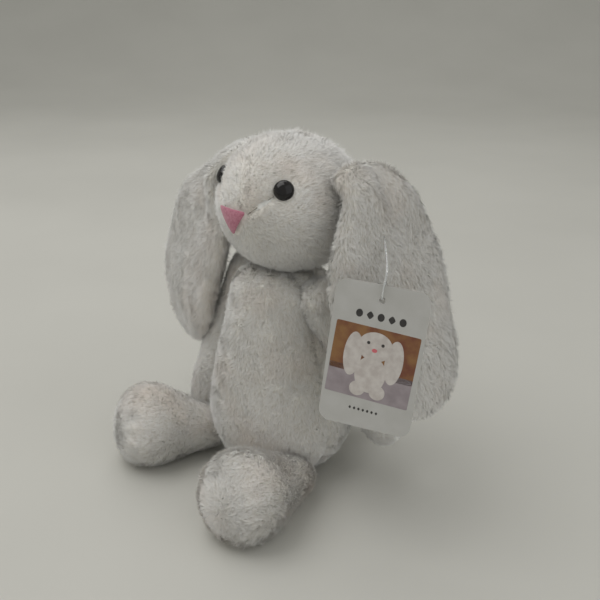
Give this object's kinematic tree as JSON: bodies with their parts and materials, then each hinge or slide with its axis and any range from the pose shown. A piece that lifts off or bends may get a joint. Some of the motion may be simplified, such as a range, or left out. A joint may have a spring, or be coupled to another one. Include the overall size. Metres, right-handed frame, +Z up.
{
  "type": "stuffed bunny rabbit",
  "caption": "Sitting white plush bunny with round head, long drooping ears, soft arms, splayed padded feet, small round tail and a plain hang tag on one ear.",
  "frame": {"origin": "centre of the flat patch of seat that the bunny sits on, at floor level", "axes": "+Z up, -Y the way the bunny faces, +X its own left"},
  "size_m": [0.2396, 0.1638, 0.2215],
  "materials": {
    "plush": "short white faux fur",
    "stuffing": "polyester fibre",
    "pellets": "bag of plastic pellets",
    "eye": "polished black",
    "washer": "natural polypropylene",
    "nose_felt": "pink felt",
    "card": "coated white card",
    "nylon": "clear moulded nylon"
  },
  "bodies": {
    "torso": {"body_skin": "plush", "pellet_bag": "pellets", "body_stuffing": "stuffing", "tail_skin": "plush", "tail_stuffing": "stuffing"},
    "neck": {"neck_stuffing": "stuffing"},
    "head": {"head_skin": "plush", "head_stuffing": "stuffing", "eye_left": "eye", "eye_washer_left": "washer", "eye_right": "eye", "eye_washer_right": "washer", "nose": "nose_felt"},
    "ear_left": {"ear_back_left": "plush", "ear_lining_left": "plush"},
    "ear_right": {"ear_back_right": "plush", "ear_lining_right": "plush"},
    "arm_left": {"arm_skin_left": "plush", "arm_stuffing_left": "stuffing"},
    "arm_right": {"arm_skin_right": "plush", "arm_stuffing_right": "stuffing"},
    "leg_left": {"leg_skin_left": "plush", "leg_stuffing_left": "stuffing", "sole_left": "plush"},
    "leg_right": {"leg_skin_right": "plush", "leg_stuffing_right": "stuffing", "sole_right": "plush"},
    "tag": {"hang_tag": "card", "tag_loop": "nylon"}
  },
  "joints": [
    {"name": "head_turn", "type": "hinge", "parent": "torso", "child": "neck", "pos_m": [0, 0, 0.137], "axis": [0, 0, 1], "range_deg": [-22, 22]},
    {"name": "head_nod", "type": "hinge", "parent": "neck", "child": "head", "pos_m": [0, 0, 0.137], "axis": [1, 0, 0], "range_deg": [-9, 9]},
    {"name": "ear_left_lift", "type": "hinge", "parent": "head", "child": "ear_left", "pos_m": [0.0445, 0.018, 0.206], "axis": [-0.2079, -0.9781, 0], "range_deg": [0, 75]},
    {"name": "ear_right_lift", "type": "hinge", "parent": "head", "child": "ear_right", "pos_m": [-0.0445, 0.018, 0.206], "axis": [-0.2588, 0.9659, 0], "range_deg": [0, 75]},
    {"name": "arm_left_swing", "type": "hinge", "parent": "torso", "child": "arm_left", "pos_m": [0.038, 0.003, 0.121], "axis": [1, 0, 0], "range_deg": [-8, 30]},
    {"name": "arm_right_swing", "type": "hinge", "parent": "torso", "child": "arm_right", "pos_m": [-0.038, 0.003, 0.121], "axis": [1, 0, 0], "range_deg": [0, 55]},
    {"name": "leg_left_swing", "type": "hinge", "parent": "torso", "child": "leg_left", "pos_m": [0.04318, -0.03374, 0.0174], "axis": [-0.9945, -0.1045, 0], "range_deg": [-50, 18]},
    {"name": "leg_right_swing", "type": "hinge", "parent": "torso", "child": "leg_right", "pos_m": [-0.04318, -0.03374, 0.0174], "axis": [-0.9063, 0.4226, 0], "range_deg": [-50, 18]},
    {"name": "tag_swing", "type": "hinge", "parent": "ear_left", "child": "tag", "pos_m": [0.0745, 0.0117, 0.1725], "axis": [-0.866, -0.5, 0], "range_deg": [0, 40]}
  ]
}
